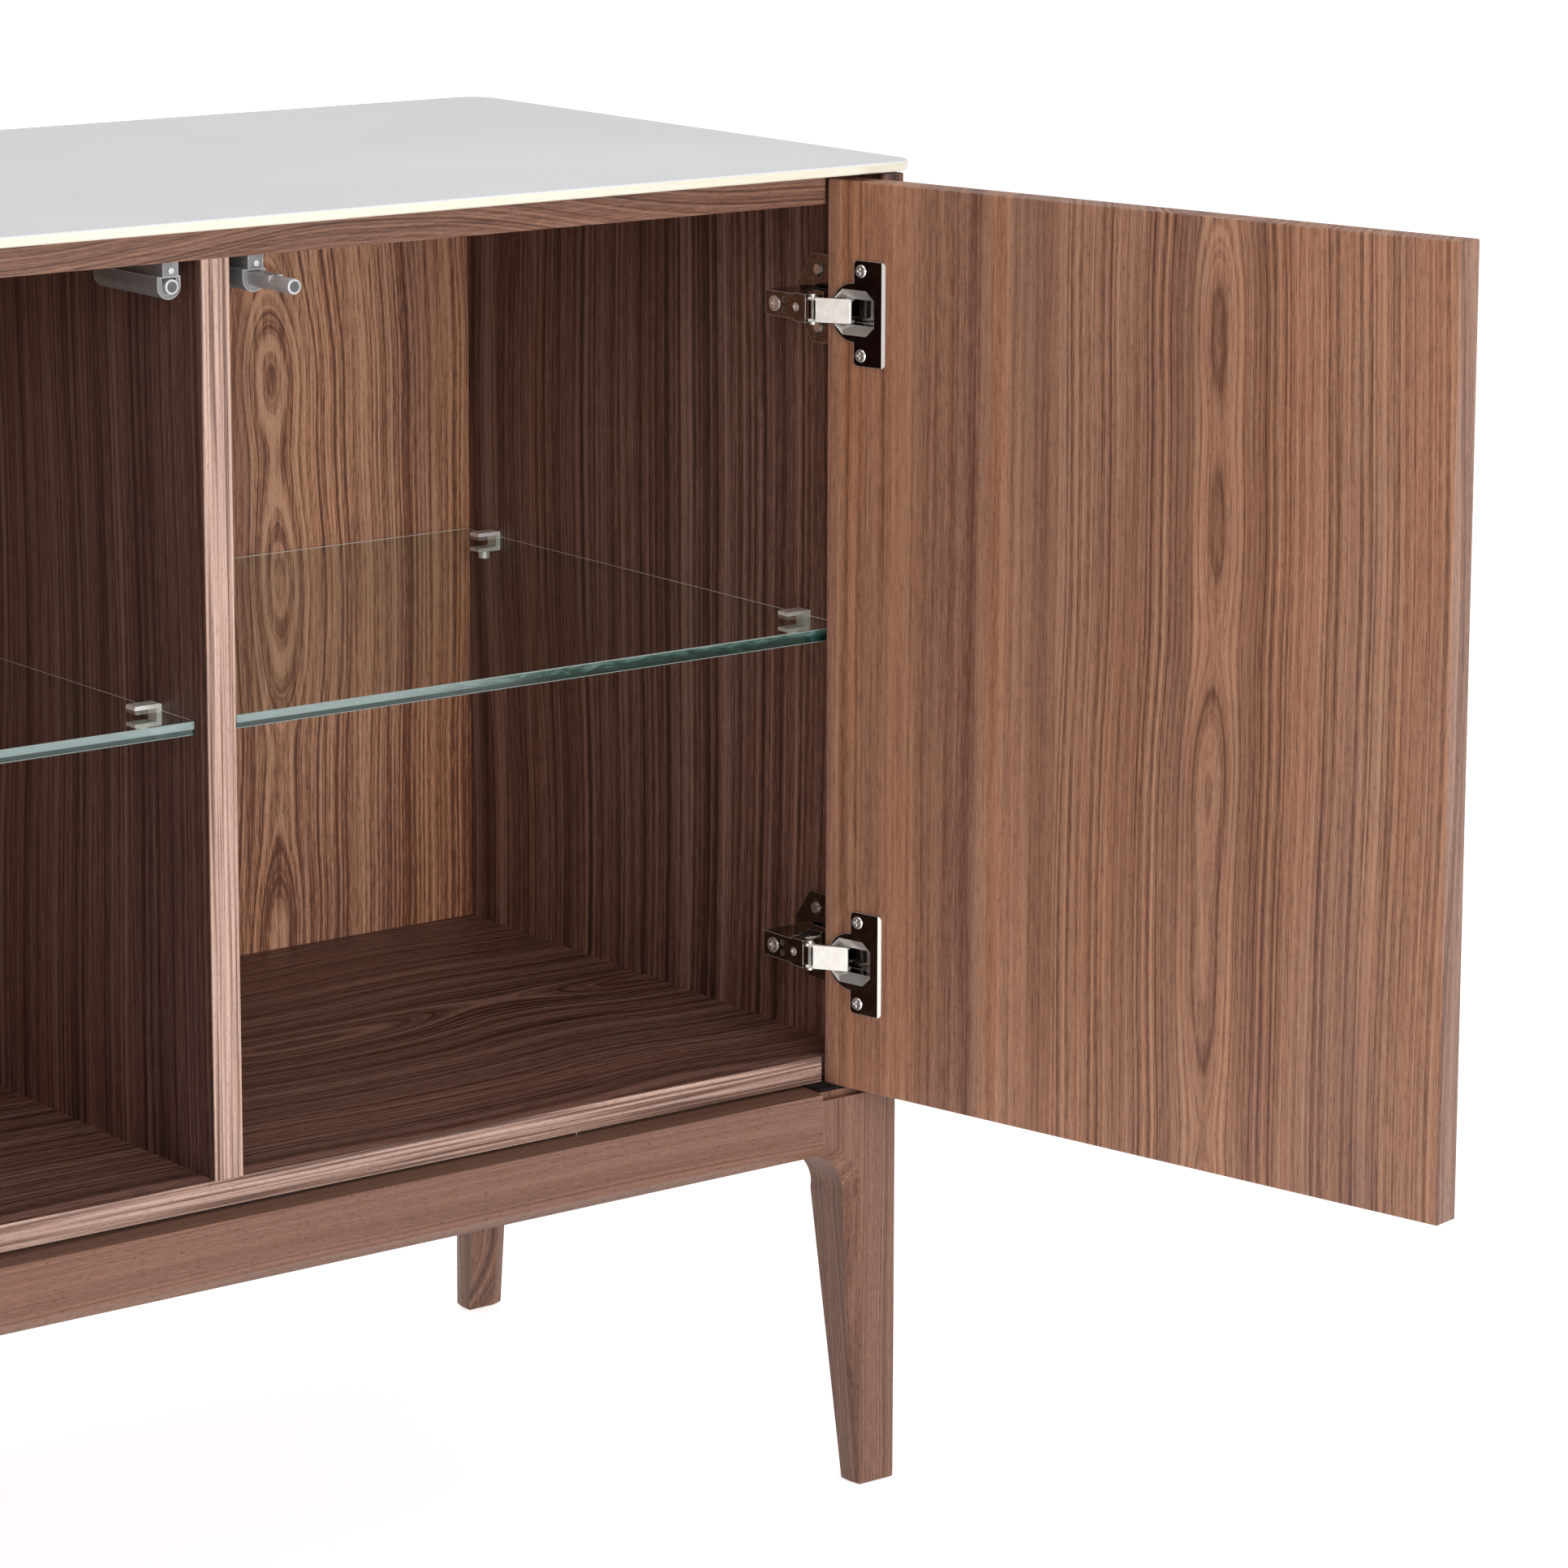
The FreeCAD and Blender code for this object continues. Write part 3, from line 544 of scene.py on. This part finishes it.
# the back panel is painted paler towards its top, as painted light
paint(["back_panel"], walnut("walnut_back", BACK_TONES, "z", "back_panel", seed=15.0, contrast=3.5,
                             lines=300.0, sway=0.05, heart=(0.305, 0.020), dip=0.085, painted_light_rise=0.14))
paint(["floor_panel"], walnut("walnut_floor", INNER_TONES, "x", "floor_panel", seed=17.0, contrast=3.4,
                              lines=380.0, heart=(-0.02, 0.03), band_depth=BAND_DEPTH))
paint(["top_panel"], walnut("walnut_top_panel", BASE_TONES, "x", "top_panel", seed=20.0, contrast=3.0,
                            lines=620.0, sway=0.16))

# ---------------------------------------------------------------- the base
paint(starting("leg_"), walnut("walnut_base_z", BASE_TONES, "z", lines=620.0, contrast=2.2, pores=1.4))
paint(["base_rail_front", "base_rail_rear"],
      walnut("walnut_base_x", BASE_TONES, "x", seed=2.0, lines=620.0, contrast=1.4, pores=1.5))
paint(["base_rail_left", "base_rail_right"],
      walnut("walnut_base_y", BASE_TONES, "y", seed=4.0, lines=620.0, contrast=1.4, pores=1.5))
paint(["felt_pads"], felt())

# ---------------------------------------------------------------- glass, fittings and fixings
DARK_NICKEL = ((0.17, 0.15, 0.14), (0.27, 0.245, 0.23))
CUP_BEVEL = -0.477

paint(["glass_top"], frosted_top())
paint(["shelf_right", "shelf_left"], shelf_glass())

# every hinge piece is bright, save those that are painted over it just below
paint(starting("hinge_"), nickel("nickel_bright", (0.70, 0.67, 0.63), (0.84, 0.82, 0.78), metallic=0.85))
paint(starting("hinge_link", "shelf_clamps", "shelf_clamp_screws"),
      nickel("nickel_satin", (0.80, 0.77, 0.72), (0.90, 0.88, 0.84), metallic=0.35, satin=0.25))
paint(["hinge_plates", "hinge_arms"], nickel("nickel_dark", *DARK_NICKEL))
paint(["hinge_cups_right", "hinge_cups_left"], nickel("nickel_cup", *DARK_NICKEL, lit_slope=CUP_BEVEL))

paint(["back_screws", "base_screws", "shelf_clamp_pins", "latch_screws"], zinc())
paint(["carcass_dowels", "base_dowels"], beech())
paint(["top_bumpers"], plastic("bumper_clear", (0.62, 0.62, 0.60), (0.72, 0.72, 0.70), 0.35))
paint(["latch_housings"], plastic("latch_grey", (0.13, 0.13, 0.132), (0.19, 0.19, 0.192), 0.42, rim=0.8))
paint(starting("latch_plunger"),
      plastic("latch_satin_metal", (0.38, 0.38, 0.385), (0.48, 0.48, 0.485), 0.34, metallic=0.35, rim=0.8))
paint(starting("latch_cap"), plastic("latch_dark", (0.05, 0.055, 0.06), (0.09, 0.095, 0.10), 0.45))


# ---------------------------------------------------------------- floor, light and world
FLOOR_SIZE = 40.0
FLOOR_GAP = 0.0005
FLOOR_GREY = (0.66, 0.66, 0.66)
FLOOR_GLOW = 1.05
WORLD_STRENGTH = 0.62
# name, place, aim, width, height and watts
LIGHTS = (("key_light", (-1.6, -3.8, 2.3), (0.1, 0.2, 0.45), 2.4, 1.8, 54),
          ("front_light", (0.3, -4.4, 0.95), (0.2, 0.4, 0.55), 1.6, 1.2, 86),
          ("top_light", (0.2, 0.3, 3.6), (0.1, -0.1, 0.4), 2.6, 2.6, 40))


def linked(name, data, place):
    made = bpy.data.objects.new(name, data)
    bpy.context.scene.collection.objects.link(made)
    made.location = place
    return made


def studio_floor():
    """A plain floor that glows a little, so that it is white up to its rim."""
    h = FLOOR_SIZE / 2
    mesh = bpy.data.meshes.new("studio_floor")
    mesh.from_pydata([(-h, -h, 0), (h, -h, 0), (h, h, 0), (-h, h, 0)], [], [(0, 1, 2, 3)])
    g = Graph("studio_floor")
    soft = g.noise(g.spot(), 2.0, 3.0)
    shade = g.mix(soft, tuple(channel * 0.985 for channel in FLOOR_GREY), FLOOR_GREY)
    mesh.materials.append(g.surface(Base_Color=shade, Roughness=0.9, Emission_Color=shade,
                                    Emission_Strength=FLOOR_GLOW))
    made = linked("studio_floor", mesh, (0, 0, cad_low.z - FLOOR_GAP))


def soft_box(name, place, aim, width, height, watts):
    data = bpy.data.lights.new(name, "AREA")
    data.shape = "RECTANGLE"
    data.size = width
    data.size_y = height
    data.energy = watts
    made = linked(name, data, place)
    made.rotation_euler = (Vector(aim) - Vector(place)).to_track_quat("-Z", "Y").to_euler()


studio_floor()
for light in LIGHTS:
    soft_box(*light)

bpy.context.scene.view_settings.view_transform = "Standard"
world = bpy.data.worlds.new("studio")
world.use_nodes = True
background = world.node_tree.nodes["Background"]
background.inputs[0].default_value = (1.0, 1.0, 1.0, 1)
background.inputs[1].default_value = WORLD_STRENGTH
bpy.context.scene.world = world


# ---------------------------------------------------------------- camera
# From the front left, a little above the top. The shift stands for a picture cropped off centre.
CAMERA_PLACE = (-1.6294, -2.6593, 1.2249)
CAMERA_AZIMUTH = math.radians(37.403)
CAMERA_PITCH = math.radians(10.45)
CAMERA_ROLL = math.radians(-0.167)
CAMERA_LENS = 127.38
CAMERA_SHIFT = -0.15

camera_data = bpy.data.cameras.new("camera")
camera_data.sensor_width = 36.0
camera_data.lens = CAMERA_LENS
camera_data.shift_y = CAMERA_SHIFT
camera_data.clip_end = 100.0
camera = linked("camera", camera_data, CAMERA_PLACE)
level = math.cos(CAMERA_PITCH)
look = Vector((math.sin(CAMERA_AZIMUTH) * level, math.cos(CAMERA_AZIMUTH) * level, -math.sin(CAMERA_PITCH)))
camera.rotation_mode = "QUATERNION"
camera.rotation_quaternion = look.to_track_quat("-Z", "Y")
camera.rotation_quaternion.rotate(Quaternion(look, CAMERA_ROLL))
bpy.context.scene.camera = camera

bpy.context.view_layer.update()
